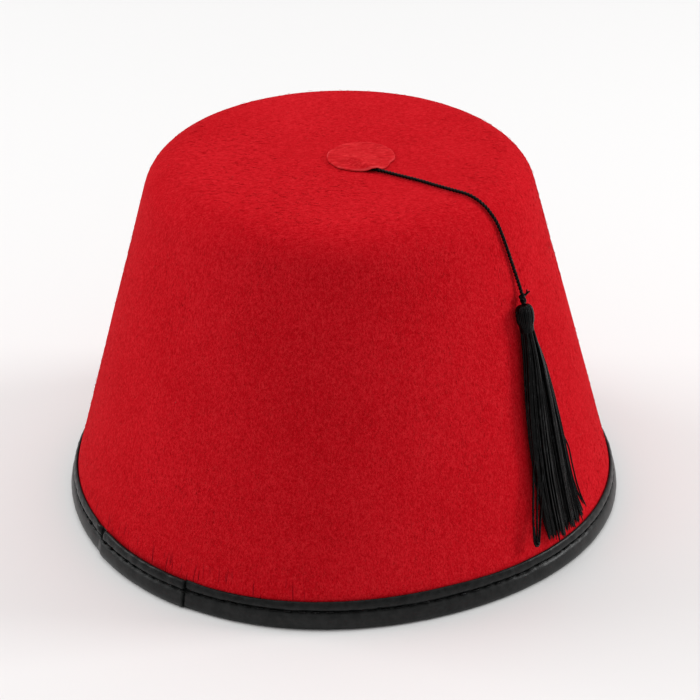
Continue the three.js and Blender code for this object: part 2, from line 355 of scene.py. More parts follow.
bpy.ops.object.select_all(action="DESELECT")
bpy.ops.mesh.primitive_uv_sphere_add(segments=24, ring_count=14, radius=1.0)
head_core = bpy.context.object
head_core.name = "head_core"
for vertex in head_core.data.vertices:
    x, y, z = vertex.co
    vertex.co = head_point(CORE_MIDDLE - CORE_HALF * z, CORE_RADIUS * math.hypot(x, y), math.atan2(y, x))
face_outwards()
bpy.ops.object.shade_smooth()

black_floss = thread_finish(
    "black_floss", (0.0001, 0.0001, 0.0001), (0.0015, 0.0016, 0.0017), (0.015, 0.0155, 0.016),
    twist_scale=1700, gloss=0.11,
)
for piece in (head, head_core):
    piece.data.materials.append(black_floss)
    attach(piece, "root")
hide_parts("tassel_head")


# ---- Tassel wrap ----
# Four turns of the same thread bind the head's neck.

WRAP_TURNS = 4
WRAP_THREAD = 0.24 * MM
WRAP_AT = (-0.3, 3.25, 86.9)
WRAP_RADIUS = 2.25
WRAP_FLAT = 0.95  # its depth against its width
WRAP_PITCH = 0.42
WRAP_POINTS = 24  # in a turn

wrap_line = []
for i in range(WRAP_TURNS * WRAP_POINTS + 1):
    angle = 2 * math.pi * i / WRAP_POINTS
    wrap_line.append(on_wall(
        WRAP_AT[0] + WRAP_RADIUS * math.cos(angle),
        WRAP_AT[1] + WRAP_RADIUS * WRAP_FLAT * math.sin(angle),
        WRAP_AT[2] - WRAP_PITCH * angle / (2 * math.pi),
    ))
wrap = lay_threads("neck_wrap", [wrap_line], WRAP_THREAD)
wrap.data.materials.append(black_floss)
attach(wrap, "root")
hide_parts("tassel_wrap")


# ---- Tassel skirt ----
# About 170 fine threads hang from the neck and spread a little down the felt wall, in bunches of uneven
# length. Two long loops were never cut and hang apart on the left, with two short ends caught in their foot,
# and one thread strays on the right.

SKIRT_TOP = 86.2
SKIRT_THREAD = 0.31 * MM
LOOP_THREAD = 0.37 * MM
SKIRT_BUNCHES = 34
BUNCH_THREADS = 5
BUNCHES_REACH = 0.93  # where the outer bunches lie, with the skirt's edges at -1 and 1
THREAD_POINTS = 15
THREAD_ENDS = [
    (-1, 70.6), (-0.75, 72.6), (-0.4, 72.9), (0, 73.0), (0.4, 73.6), (0.7, 73.6), (1, 70.8),
]  # across the skirt, and how far down its threads are cut
UNCUT_LOOPS = [
    (
        [(8, -0.5, 0.2), (24, -0.8, 0.3)],
        [(-9.2, 2.7, 44), (-10.5, 2.2, 40), (-12.3, 1.9, 33.8), (-14.9, 1.8, 26.1), (-16.8, 1.8, 19),
         (-17.1, 1.8, 17), (-16.8, 1.8, 15.6), (-15.7, 1.8, 15.1), (-14.8, 1.8, 15.7), (-14.2, 1.8, 17.4),
         (-11.6, 1.9, 24.2), (-8.8, 2.2, 30.5), (-7.0, 2.8, 36.8)],
        [(36, -0.6, 0.4), (20, -0.45, 0.3), (4, -0.2, 0)],
    ),
    (
        [(8, -0.4, 0.3), (26, -0.7, 0.4)],
        [(-8.2, 3.0, 42), (-10.6, 2.5, 34), (-13.1, 2.1, 26), (-15.6, 2.1, 18.2), (-16.1, 2.1, 16.8),
         (-15.8, 2.1, 15.9), (-15.2, 2.1, 15.9), (-14.8, 2.1, 16.8), (-12.2, 2.3, 23.2), (-9.2, 2.8, 31.5)],
        [(40, -0.6, 0.5), (10, -0.3, 0.2)],
    ),
    ([], [(-15.7, 1.8, 22), (-16.2, 1.8, 19), (-15.9, 1.8, 15.5)], []),
    ([], [(-14.4, 1.8, 20.5), (-15.2, 1.8, 18), (-15.5, 1.8, 15.7)], []),
]  # in the skirt as down, across and deep, then free as aside, off and up, and back in the skirt
SKIRT_SHAPE = [
    (0, 4.2, 4.0, 3.2, -0.1), (3, 5.0, 4.4, 3.2, -0.1), (8, 7.3, 5.0, 3.2, 0.15),
    (15, 10.8, 5.2, 3.2, 0.0), (25, 14.4, 4.9, 3.1, -0.5), (37, 17.5, 4.3, 2.8, -0.8),
    (52, 19.0, 3.5, 2.4, -0.9), (64, 19.2, 2.9, 2.2, -0.7), (76, 19.4, 2.4, 2.1, -0.4),
]  # down, width, thickness, off and aside, in millimetres


def skirt_point(down, across, deep, spread=0.0):
    """A place in the skirt: across and deep run from -1 to 1 over its width and its thickness."""
    downs, *columns = zip(*SKIRT_SHAPE)
    width, thick, off, aside = (np.interp(down, downs, column) for column in columns)
    sideways = aside + across * width / 2 + spread
    round_wall = sideways ** 2 * MM / (2 * wall_radius((SKIRT_TOP - down) * MM))
    return on_wall(sideways, off + deep * thick / 2 - round_wall, SKIRT_TOP - down)


random.seed(23)
skirt_lines = []
for bunch in range(SKIRT_BUNCHES):
    bunch_share = (bunch + random.uniform(-0.3, 0.3)) / (SKIRT_BUNCHES - 1)
    bunch_across = BUNCHES_REACH * (2 * bunch_share - 1)
    bunch_deep = random.uniform(-0.75, 0.8) * math.sqrt(max(0.05, 1 - bunch_across ** 2))
    bunch_end = np.interp(bunch_across, *zip(*THREAD_ENDS)) + random.uniform(-1.2, 0.6)
    for thread in range(BUNCH_THREADS):
        across = bunch_across + random.uniform(-0.1, 0.1)
        deep = bunch_deep + random.uniform(-0.55, 0.55)
        reach = math.hypot(across, deep)
        across, deep = (across / max(1, reach), deep / max(1, reach))
        end = bunch_end + random.uniform(-2.2, 1.2)
        splay = max(0, bunch_across - 0.4) * random.uniform(3, 10)
        wave = random.uniform(0.05, 0.22)
        phase = random.uniform(0, 2 * math.pi)
        line = []
        for share in np.linspace(0, 1, THREAD_POINTS):
            gather = 0.25 * share ** 3  # the threads of a bunch draw together towards their ends
            line.append(skirt_point(
                end * share,
                across * (1 - gather) + bunch_across * gather,
                deep * (1 - gather) + bunch_deep * gather,
                wave * share * math.sin(phase + 7 * share) + splay * share ** 8,
            ))
        skirt_lines.append(smooth_line(line, 3.2 * MM))

# A stray thread curves away on the right.
skirt_lines.append(smooth_line([
    skirt_point(4, 0.5, 0), skirt_point(24, 0.85, 0.1), skirt_point(40, 0.96, 0.1), on_wall(9.3, 2.6, 40),
    on_wall(9.9, 2.2, 33), on_wall(10.5, 2.0, 26), on_wall(11.4, 2.0, 20.5), on_wall(12.9, 2.0, 16),
], 2 * MM))
skirt = lay_threads("thread_skirt", skirt_lines, SKIRT_THREAD, end_taper=0.35)
loop_lines = []
for start, free, back in UNCUT_LOOPS:
    loop_lines.append(smooth_line(
        [skirt_point(*row) for row in start] + [on_wall(*row) for row in free]
        + [skirt_point(*row) for row in back], 1 * MM
    ))
loops = lay_threads("uncut_loops", loop_lines, LOOP_THREAD)
loops.data.materials.append(black_floss)
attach(loops, "root")
skirt.data.materials.append(black_floss)
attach(skirt, "root")
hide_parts("tassel_skirt")


# ---- Felt crown ----
# Stiff needled felt 2.2 mm thick, steamed over a block: a leaning wall, a round shoulder and a flat top in
# one piece. The sewn binding presses it in at the foot and pulls the rim slightly out of round.

CROWN_HEIGHT = 124.8 * MM
SHOULDER_RADIUS = 14.4 * MM
FLAT_RADIUS = 51.4 * MM  # of the flat top, up to where the shoulder starts to turn
FELT = 2.2 * MM
FELT_FOOT = 1.3 * MM
PINCH = 0.5 * MM  # how far the binding presses the felt in
PINCH_TOP = 10.2 * MM
PINCH_FADE = 2.6 * MM
FELT_COLUMNS = 960
WALL_ROWS = 58
SHOULDER_ROWS = 12
POLE = 0.3 * MM  # radius of the first ring, which is then merged to a point
FELT_UNEVEN = [(38, 1, 0.16 * MM), (170, 0.6, 0.05 * MM), (900, 0.3, 0.035 * MM)]  # scale, z's share, height
RIM_SWELLS = [(2, 0.78 * MM, math.radians(45)), (4, 0.84 * MM, math.radians(-24))]  # lobes, height, peak


def raise_rings(name, columns, rings, closed_section=False):
    """A round body raised ring by ring, as (radius, height) pairs from its first pole to its last.
    With closed_section the last ring is bridged to the first."""
    radius, height = rings[0]
    bpy.ops.object.select_all(action="DESELECT")
    bpy.ops.mesh.primitive_circle_add(
        vertices=columns, radius=radius, fill_type="NOTHING", location=(0, 0, height)
    )
    body = bpy.context.object
    body.name = name
    bpy.ops.object.transform_apply(location=True, rotation=True, scale=True)
    bpy.ops.object.mode_set(mode="EDIT")
    bpy.ops.mesh.select_all(action="SELECT")
    for next_radius, next_height in rings[1:]:
        bpy.ops.mesh.extrude_edges_move(TRANSFORM_OT_translate={"value": (0, 0, next_height - height)})
        widen = next_radius / radius
        bpy.ops.transform.resize(value=(widen, widen, 1), center_override=(0, 0, 0))
        radius, height = next_radius, next_height
    if not closed_section:
        bpy.ops.mesh.merge(type="CENTER")
    bpy.ops.object.mode_set(mode="OBJECT")
    for vertex in body.data.vertices:
        vertex.select = vertex.index < columns
    bpy.ops.object.mode_set(mode="EDIT")
    if closed_section:
        bpy.ops.mesh.select_all(action="SELECT")
        bpy.ops.mesh.select_non_manifold(extend=False)
        bpy.ops.mesh.bridge_edge_loops()
    else:
        bpy.ops.mesh.merge(type="CENTER")
    bpy.ops.mesh.select_all(action="SELECT")
    bpy.ops.mesh.normals_make_consistent(inside=False)
    bpy.ops.object.mode_set(mode="OBJECT")
    bpy.ops.object.shade_smooth()
    return body


def swollen(places):
    """Places moved in or out with the rim's swells, which fade out towards the top."""
    angle = np.arctan2(places[:, 1], places[:, 0])
    radius = np.hypot(places[:, 0], places[:, 1])
    out = sum(height * np.cos(lobes * (angle - peak)) for lobes, height, peak in RIM_SWELLS)
    fade = 1 - np.clip(places[:, 2] / CROWN_HEIGHT, 0, 1)
    scale = 1 + out * fade / np.maximum(radius, MM)
    moved = places.copy()
    moved[:, 0] *= scale
    moved[:, 1] *= scale
    return moved


def read_places(body):
    """A mesh's vertices as rows of x, y, z."""
    places = np.empty(len(body.data.vertices) * 3)
    body.data.vertices.foreach_get("co", places)
    return places.reshape(-1, 3)


def write_places(body, places):
    """Puts the vertices at these rows of x, y, z."""
    body.data.vertices.foreach_set("co", places.ravel())
    body.data.update()


def shoulder(reach, rows):
    """The shoulder's rings from the flat top down to the wall, at a distance from the arc's centre."""
    rings = []
    for i in range(rows + 1):
        angle = math.pi / 2 - (math.pi / 2 - TAPER) * i / rows
        rings.append((
            FLAT_RADIUS + reach * math.cos(angle), CROWN_HEIGHT - SHOULDER_RADIUS + reach * math.sin(angle)
        ))
    return rings


top_rings = [(radius, CROWN_HEIGHT) for radius in np.linspace(POLE, FLAT_RADIUS, 16)[:-1]]
outer_shoulder = shoulder(SHOULDER_RADIUS, SHOULDER_ROWS)
wall_heights = np.linspace(outer_shoulder[-1][1], FELT_FOOT + 0.8 * MM, WALL_ROWS)[1:]
wall_rings = [
    (wall_radius(z) - PINCH * min(max((PINCH_TOP - z) / PINCH_FADE, 0), 1), z) for z in wall_heights
]
foot_outside = wall_radius(FELT_FOOT) - PINCH
foot_inside = wall_radius(FELT_FOOT) - FELT / math.cos(TAPER)
foot_rings = [
    (foot_outside - 0.25 * MM, FELT_FOOT + 0.2 * MM), (foot_outside - 0.7 * MM, FELT_FOOT),
    (foot_inside + 0.5 * MM, FELT_FOOT), (foot_inside, FELT_FOOT + 0.5 * MM),
]
inner_shoulder = shoulder(SHOULDER_RADIUS - FELT, 5)[::-1]
inner_foot = inner_shoulder[0]
inner_wall = [
    (foot_inside + (inner_foot[0] - foot_inside) * share, FELT_FOOT + (inner_foot[1] - FELT_FOOT) * share)
    for share in (0.1, 0.25, 0.5, 0.75)
]
crown = raise_rings(
    "felt_crown", FELT_COLUMNS,
    top_rings + outer_shoulder + wall_rings + foot_rings + inner_wall + inner_shoulder
    + [(FLAT_RADIUS / 2, CROWN_HEIGHT - FELT), (POLE, CROWN_HEIGHT - FELT)],
)

# The felt's own unevenness: broad soft hollows, and a fine needled nap that runs down the wall.
felt_places = swollen(read_places(crown))
felt_normals = np.empty(len(felt_places) * 3)
crown.data.vertices.foreach_get("normal", felt_normals)
felt_normals = felt_normals.reshape(-1, 3)
felt_push = np.zeros(len(felt_places))
for i, (x, y, z) in enumerate(felt_places):
    for scale, drawn_out, height in FELT_UNEVEN:
        felt_push[i] += height * noise.noise(Vector((x, y, z * drawn_out)) * scale)
felt_push *= np.clip((felt_places[:, 2] - 9 * MM) / (6 * MM), 0, 1)
write_places(crown, felt_places + felt_normals * felt_push[:, None])
mark_points(crown, "around", WALL_FOOT * np.arctan2(felt_places[:, 0], -felt_places[:, 1]))


def paint_over(tree, colour, share, paint):
    """The colour, with another over it where the share is 1."""
    mixed = place_node(tree, "ShaderNodeMix", {"Factor": share}, data_type="RGBA")
    tree.links.new(colour, mixed.inputs["A"])
    mixed.inputs["B"].default_value = (*paint, 1)
    return mixed.outputs["Result"]


def felt_finish(name, dark, base, light, nap_scale, wall=True, cut_edge=None):
    """Needled felt: short tangled fibres, mottled, with a soft nap. On the wall they lie downwards, and the
    nap has splits above the binding, with painted shade in them. cut_edge names an attribute that marks
    where the felt is painted lighter."""
    material, tree, shader = new_finish(name, {
        "Roughness": 0.95, "Specular IOR Level": 0.02, "Sheen Weight": 0.02, "Sheen Roughness": 0.45,
        "Sheen Tint": (1.0, 0.25, 0.25, 1),
    })
    place = tree.nodes.new("ShaderNodeTexCoord").outputs["Object"]
    across = place_node(tree, "ShaderNodeMapping", {"Vector": place, "Scale": (0.3, 1, 1)})
    nap_look = {"Scale": nap_scale, "Detail": 4, "Roughness": 0.62}
    top_nap = place_node(
        tree, "ShaderNodeTexNoise", {"Vector": across.outputs["Vector"], "Distortion": 0.5, **nap_look}
    )
    nap = top_nap.outputs["Fac"]
    if wall:
        down = place_node(tree, "ShaderNodeMapping", {"Vector": place, "Scale": (1, 1, 0.45)})
        wall_nap = place_node(
            tree, "ShaderNodeTexNoise", {"Vector": down.outputs["Vector"], "Distortion": 0.4, **nap_look}
        )
        height = place_node(tree, "ShaderNodeSeparateXYZ", {"Vector": place})
        on_top = place_node(
            tree, "ShaderNodeMapRange",
            {"Value": height.outputs["Z"], "From Min": 0.115, "From Max": 0.1235},
            interpolation_type="SMOOTHSTEP",
        )
        both = place_node(
            tree, "ShaderNodeMix",
            {"Factor": on_top.outputs["Result"], "A": wall_nap.outputs["Fac"], "B": nap},
        )
        nap = both.outputs["Result"]
    mottle = place_node(
        tree, "ShaderNodeTexNoise",
        {"Vector": place, "Scale": nap_scale * 0.3, "Detail": 3, "Roughness": 0.6},
    )
    patches = place_node(tree, "ShaderNodeTexNoise", {"Vector": place, "Scale": 34, "Detail": 2})
    speckled = place_node(
        tree, "ShaderNodeMix", {"Factor": 0.22, "A": nap, "B": mottle.outputs["Fac"]}
    )
    tone = place_node(
        tree, "ShaderNodeMix", {"Factor": 0.14, "A": speckled.outputs["Result"], "B": patches.outputs["Fac"]}
    )
    colour = colour_steps(tree, tone.outputs["Result"], [(0.36, dark), (0.49, base), (0.64, light)])
    # Single curled fibres that show lighter than the felt behind them.
    curls = place_node(
        tree, "ShaderNodeTexNoise",
        {"Vector": down.outputs["Vector"] if wall else across.outputs["Vector"], "Scale": nap_scale * 0.42,
         "Detail": 1, "Roughness": 0.5, "Distortion": 1.2},
    )
    off_middle = place_node(tree, "ShaderNodeMath", {0: curls.outputs["Fac"], 1: 0.5}, operation="SUBTRACT")
    near_middle = place_node(tree, "ShaderNodeMath", {0: off_middle.outputs["Value"]}, operation="ABSOLUTE")
    on_curl = place_node(
        tree, "ShaderNodeMapRange",
        {"Value": near_middle.outputs["Value"], "From Min": 0.042, "From Max": 0.012, "To Max": 0.6},
    )
    colour = paint_over(tree, colour, on_curl.outputs["Result"], (light[0], light[1] * 1.5, light[2] * 1.2))
    if wall:
        # Thin splits in the nap, just above the sewn binding, at the front left, with painted shade in them.
        around = place_node(tree, "ShaderNodeAttribute", {}, attribute_name="around")
        slow_height = place_node(
            tree, "ShaderNodeMath", {0: height.outputs["Z"], 1: 0.09}, operation="MULTIPLY"
        )
        split_place = place_node(
            tree, "ShaderNodeCombineXYZ", {"X": around.outputs["Fac"], "Y": slow_height.outputs["Value"]}
        )
        split_noise = place_node(
            tree, "ShaderNodeTexNoise",
            {"Vector": split_place.outputs["Vector"], "Scale": 1100, "Detail": 1, "Roughness": 0.4},
        )
        deep = place_node(
            tree, "ShaderNodeMapRange",
            {"Value": split_noise.outputs["Fac"], "From Min": 0.63, "From Max": 0.68},
        )
        near_rim = place_node(
            tree, "ShaderNodeMapRange",
            {"Value": height.outputs["Z"], "From Min": 0.0178, "From Max": 0.0112},
        )
        front_left = place_node(
            tree, "ShaderNodeMapRange",
            {"Value": height.outputs["X"], "From Min": -0.005, "From Max": -0.02, "To Min": 0.12},
        )
        low_split_painted_shade = place_node(
            tree, "ShaderNodeMath", {0: deep.outputs["Result"], 1: near_rim.outputs["Result"]},
            operation="MULTIPLY",
        )
        painted_split_shade = place_node(
            tree, "ShaderNodeMath", {0: low_split_painted_shade.outputs["Value"], 1: front_left.outputs["Result"]},
            operation="MULTIPLY",
        )
        # Painted shade in the splits.
        colour = paint_over(tree, colour, painted_split_shade.outputs["Value"], (0.2, 0.002, 0.006))
    if cut_edge is not None:
        # The felt is painted lighter along its cut edge.
        edge = place_node(tree, "ShaderNodeAttribute", {}, attribute_name=cut_edge)
        colour = paint_over(tree, colour, edge.outputs["Fac"], (0.78, 0.075, 0.085))
    tree.links.new(colour, shader.inputs["Base Color"])
    emboss(tree, shader, speckled.outputs["Result"], 0.3 * MM, 0.45)
    return material


red_felt = felt_finish(
    "red_felt", (0.355, 0.002, 0.0045), (0.452, 0.0035, 0.0085), (0.595, 0.012, 0.020), nap_scale=2100
)
crown.data.materials.append(red_felt)
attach(crown, "root")
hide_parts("crown")


# ---- Loose felt fibres ----
# Wool hairs about 1 to 2.5 mm long lie in the felt's surface, mostly down the wall and across the top, and
# some stand off it, so that the outline is slightly furry.

HAIR_COUNT = 15000
HAIR_RADIUS = 0.045 * MM
HAIR_CORNERS = 3
WALL_SHARE = 0.84  # of the hairs; the rest lie on the top
HAIRS_ABOVE = 0.28  # hairs at the wall's top for each one at its foot, where the wall is wider

hair_random = np.random.default_rng(5)
hair_on_top = hair_random.random(HAIR_COUNT) > WALL_SHARE
hair_angle = hair_random.uniform(0, 2 * np.pi, HAIR_COUNT)
hair_slope = hair_random.random(HAIR_COUNT)
lowest, highest = 11 * MM, outer_shoulder[2][1]
hair_rise = (1 - np.sqrt(1 - hair_slope * (1 - HAIRS_ABOVE))) / (1 - math.sqrt(HAIRS_ABOVE))
hair_height = lowest + (highest - lowest) * hair_rise
arc_height = np.clip(hair_height - (CROWN_HEIGHT - SHOULDER_RADIUS), -SHOULDER_RADIUS, SHOULDER_RADIUS)
hair_out = np.where(
    hair_height > outer_shoulder[-1][1],
    FLAT_RADIUS + np.sqrt(np.maximum(SHOULDER_RADIUS ** 2 - arc_height ** 2, 0)),
    wall_radius(hair_height),
)
tilt = np.where(
    hair_height > outer_shoulder[-1][1], np.arcsin(np.clip(arc_height / SHOULDER_RADIUS, -1, 1)), TAPER
)
top_out = (FLAT_RADIUS + 4 * MM) * np.sqrt(hair_random.random(HAIR_COUNT))
hair_out = np.where(hair_on_top, top_out, hair_out)
hair_height = np.where(hair_on_top, CROWN_HEIGHT, hair_height)
tilt = np.where(hair_on_top, np.pi / 2, tilt)
outward = np.stack([np.cos(hair_angle), np.sin(hair_angle), np.zeros(HAIR_COUNT)], axis=1)
around = np.stack([-np.sin(hair_angle), np.cos(hair_angle), np.zeros(HAIR_COUNT)], axis=1)
upward = np.array([[0.0, 0.0, 1.0]])
hair_normal = outward * np.cos(tilt)[:, None] + upward * np.sin(tilt)[:, None]
down_wall = outward * np.sin(tilt)[:, None] - upward * np.cos(tilt)[:, None]
sideways = np.array([[1.0, 0.0, 0.0]])
sideways_turn = np.stack([np.zeros(HAIR_COUNT), np.ones(HAIR_COUNT), np.zeros(HAIR_COUNT)], axis=1)
sway = hair_random.normal(0, 0.42, HAIR_COUNT)[:, None]
along = np.where(hair_on_top[:, None], sideways + sideways_turn * sway, down_wall + around * sway)
along /= np.linalg.norm(along, axis=1)[:, None]
across = np.cross(hair_normal, along)
across /= np.linalg.norm(across, axis=1)[:, None]
root = swollen(outward * hair_out[:, None] + upward * hair_height[:, None])
hair_length = hair_random.uniform(0.8, 2.4, HAIR_COUNT) * MM
stands_off = (hair_random.random(HAIR_COUNT) < 0.1) & ~hair_on_top
high_arch = hair_random.uniform(0.08, 0.25, HAIR_COUNT)
low_arch = hair_random.uniform(0.0, 0.04, HAIR_COUNT)
arch = np.where(stands_off, high_arch, low_arch) * MM
curl = hair_random.normal(0, 0.22, HAIR_COUNT) * MM
# Along the hair, how far it lifts, whether it has a thickness, and how far it bows aside.
hair_stations = [(-0.5, -0.12, 0, 0), (-0.17, 1, 1, 1), (0.17, 1, 1, 1), (0.5, -0.12, 0, 0)]
free_end = hair_random.random(HAIR_COUNT) < 0.5
hair_places = []
for share, lift, thick, bow in hair_stations:
    end_lift = np.where(stands_off & free_end & (share > 0.3), 1.5 * arch, lift * arch)
    middle = (
        root + along * (share * hair_length)[:, None] + hair_normal * end_lift[:, None]
        + across * (bow * curl)[:, None]
    )
    if thick == 0:
        hair_places.append(middle[:, None, :])
        continue
    corners = []
    for k in range(HAIR_CORNERS):
        angle = 2 * math.pi * k / HAIR_CORNERS
        corners.append(middle + (across * math.cos(angle) + hair_normal * math.sin(angle)) * HAIR_RADIUS)
    hair_places.append(np.stack(corners, axis=1))
hair_vertices = np.concatenate(hair_places, axis=1)
one_hair = []
for k in range(HAIR_CORNERS):
    after = (k + 1) % HAIR_CORNERS
    one_hair.append((0, 1 + after, 1 + k))
    one_hair.append((1 + k, 1 + after, 4 + after))
    one_hair.append((1 + k, 4 + after, 4 + k))
    one_hair.append((4 + k, 4 + after, 7))
hair_faces = (np.arange(HAIR_COUNT)[:, None, None] * 8 + np.array(one_hair)[None, :, :]).reshape(-1, 3)
hair_mesh = bpy.data.meshes.new("felt_fibres")
hair_mesh.from_pydata(hair_vertices.reshape(-1, 3).tolist(), [], hair_faces.tolist())
fibres = bpy.data.objects.new("felt_fibres", hair_mesh)
mark_points(fibres, "fibre_tone", np.repeat(hair_random.random(HAIR_COUNT), 8))
bpy.context.collection.objects.link(fibres)
bpy.context.view_layer.objects.active = fibres
fibres.select_set(True)
face_outwards()

fibre_material, fibre_tree, fibre_shader = new_finish("red_fibre", {
    "Roughness": 0.8, "Specular IOR Level": 0.05, "Sheen Weight": 0.05, "Sheen Tint": (1.0, 0.3, 0.3, 1),
})
tone_of_hair = place_node(fibre_tree, "ShaderNodeAttribute", {}, attribute_name="fibre_tone")
fibre_colour = colour_steps(
    fibre_tree, tone_of_hair.outputs["Fac"],
    [(0.0, (0.45, 0.003, 0.007)), (0.6, (0.52, 0.006, 0.011)), (1.0, (0.66, 0.020, 0.028))],
)
fibre_tree.links.new(fibre_colour, fibre_shader.inputs["Base Color"])
fibres.data.materials.append(fibre_material)
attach(fibres, "root")


# ---- Rim binding ----
# A strip of black leatherette folded over the felt's cut edge and sewn through both sides. Its upper lip
# stands slightly off the felt, the stitches pull a groove into it, and its ends lap on the front left.

BINDING_COLUMNS = 1440
LAP_START = math.radians(-59.5)  # from the front, negative towards -X
LAP_END = math.radians(-32.5)
LAP_RISE = math.radians(2)
LAP_OUT = 0.85 * MM
STITCH_COUNT = 132
GROOVE_AT = 6.4  # height of the stitched groove, and of the puckers over it, in millimetres
PUCKER_AT = 8.3
WIDTH_CHANGES = [
    (-62, 0), (-56, 0.5), (-48, 0.1), (-40, 0), (-31, -0.05), (-26, -0.4), (-16, -0.35), (8, 0.1), (22, 0.4),
    (34, 0),
]  # degrees from the front, and how much higher the lip is sewn, in millimetres
# The section, from the lip's inner edge down the outside, under the fold and up the inner leaf, and back
# along the felt: the face that it is measured from, with distances out from it and heights.
BINDING_SECTION = [
    ("outer", [
        (0.1, 9.35), (0.22, 9.7), (0.5, 9.86), (0.82, 9.72), (1.0, 9.35), (1.12, 8.7), (1.1, 8.0),
        (0.95, 7.35), (0.66, 6.9), (0.3, 6.62), (0.24, 6.3), (0.5, 6.0), (0.85, 5.5), (0.98, 4.8),
        (1.0, 3.9), (0.92, 2.9), (0.75, 2.0), (0.45, 1.2), (0.0, 0.5), (-0.6, 0.12), (-1.3, 0.0),
        (-2.2, 0.0), (-3.0, 0.02),
    ]),
    ("inner", [
        (-0.75, 0.35), (-1.1, 1.0), (-1.2, 2.4), (-1.2, 4.4), (-1.0, 6.4), (-1.15, 7.6), (-1.0, 8.3),
        (-0.6, 8.45), (-0.3, 8.2), (-0.28, 5.0), (-0.28, 2.2), (0.1, 1.05),
    ]),
    ("outer", [(-1.0, 1.05), (-0.35, 1.9), (-0.3, 5.0), (-0.2, 7.6), (-0.05, 8.9)]),
]
OUTSIDE_LAST = 19  # the last row of the section that is on the outside


def binding_radius(face, out, height):
    """A section point's distance from the hat's axis."""
    inset = 0 if face == "outer" else FELT / math.cos(TAPER)
    return wall_radius(height) - inset + out


binding_rings = [
    (binding_radius(face, out * MM, z * MM), z * MM) for face, rows in BINDING_SECTION for out, z in rows
]
binding = raise_rings("leather_binding", BINDING_COLUMNS, binding_rings, closed_section=True)
strip_places = read_places(binding)
strip_row = np.arange(len(strip_places)) // BINDING_COLUMNS
strip_angle = np.arctan2(strip_places[:, 0], -strip_places[:, 1])
# The two columns that bracket the lap's cut end are drawn together, so that the end is sharp.
column_width = 2 * math.pi / BINDING_COLUMNS
past_end = strip_angle - LAP_END
draw = np.where(np.abs(past_end) < column_width, np.sign(past_end) * 0.06 * column_width - past_end, 0)
strip_angle = strip_angle + draw
strip_radius = np.hypot(strip_places[:, 0], strip_places[:, 1])
outside = np.clip((strip_row > 0) & (strip_row <= OUTSIDE_LAST), 0, 1)
rise = np.clip((strip_angle - LAP_START) / LAP_RISE, 0, 1)
lap = rise * (strip_angle < LAP_END)
low_turn = np.interp(strip_row, [0, 3, 15, 18, 20], [0.6, 1, 1, 0.8, 0])
push = LAP_OUT * lap * outside * low_turn
stitch_wave = np.cos(strip_angle * STITCH_COUNT)
height_mm = strip_places[:, 2] / MM
groove = np.exp(-((height_mm - GROOVE_AT) / 0.75) ** 2) * outside
pucker = np.exp(-((height_mm - PUCKER_AT) / 1.3) ** 2) * outside
push -= 0.13 * MM * groove * np.clip(-stitch_wave, 0, 1)
push += 0.045 * MM * pucker * stitch_wave
degrees = np.degrees(strip_angle)
lift = np.zeros(len(strip_places))
for i, (x, y, z) in enumerate(strip_places):
    if not outside[i]:
        continue
    wide = noise.noise(Vector((x * 30, y * 30, 0.3)))
    small = noise.noise(Vector((x * 210, y * 210, z * 60)))
    crease = noise.noise(Vector((x * 420 + z * 500, y * 420, z * 160)))
    lip = np.clip((height_mm[i] - 6.6) / 2.6, 0, 1)
    wander = noise.noise(Vector((x * 90, y * 90, 4.1))) + 0.6 * noise.noise(Vector((x * 400, y * 400, 1.7)))
    lift[i] = (lip * (0.28 * wide + 0.1 * small) + 0.42 * groove[i] * wander) * MM
    push[i] += (0.09 * small + 0.07 * crease * (0.4 + 0.6 * lip) + 0.1 * wide + 0.12 * lip * wide) * MM
# The strip's under end shows as a notch where the lap begins, behind a lip that curls out.
notch = np.exp(-((degrees + 58.6) / 0.85) ** 2) * outside * np.clip((height_mm - 6.0) / 1.6, 0, 1)
curl_out = np.exp(-((degrees + 60.9) / 1.3) ** 2) * outside * np.clip((height_mm - 6.4) / 2.4, 0, 1)
push += (0.55 * curl_out - 0.95 * notch) * MM
lift -= 1.1 * notch * MM
# The lap's free lip is wavy.
lap_wave = np.array([noise.noise(Vector((a * 26, 0.7, 0.2))) for a in strip_angle])
on_lap_part = np.clip((degrees + 58) / 2, 0, 1) * np.clip((-34 - degrees) / 3, 0, 1)
lift += 0.5 * lap_wave * on_lap_part * np.clip((height_mm - 7) / 2.4, 0, 1) * outside * MM
push += 0.35 * lap_wave * on_lap_part * np.clip((height_mm - 6) / 3, 0, 1) * outside * MM
# The strip is sewn on narrower beside the lap's cut end, and wider where it laps and at the front right.
width_change = np.interp(degrees, *zip(*WIDTH_CHANGES))
lift += width_change * MM * np.clip((height_mm - 6.6) / 2.6, 0, 1) * outside
strip_radius = strip_radius + push * math.cos(TAPER)
strip_height = strip_places[:, 2] + lift
strip_radius -= lift * math.tan(TAPER)
strip_places = np.stack([
    strip_radius * np.sin(strip_angle), -strip_radius * np.cos(strip_angle), np.maximum(strip_height, 0)
], axis=1)
write_places(binding, swollen(strip_places))
# Painted shade where light doesn't reach: the groove, the felt side of the lip, the cut end's foot and the
# notch.
in_groove = np.exp(-((height_mm - GROOVE_AT) / 0.5) ** 4)
under_lip = 0.4 * np.clip((height_mm - 7.2) / 1.2, 0, 1)
past_cut = (strip_angle > LAP_END) & (strip_angle < LAP_END + 1.9 * column_width)
in_notch = (np.abs(degrees + 58.9) < 0.45) & (height_mm > 6)
mark_points(binding, "seam_painted_shade", np.maximum.reduce([in_groove, under_lip, past_cut, in_notch]) * outside)

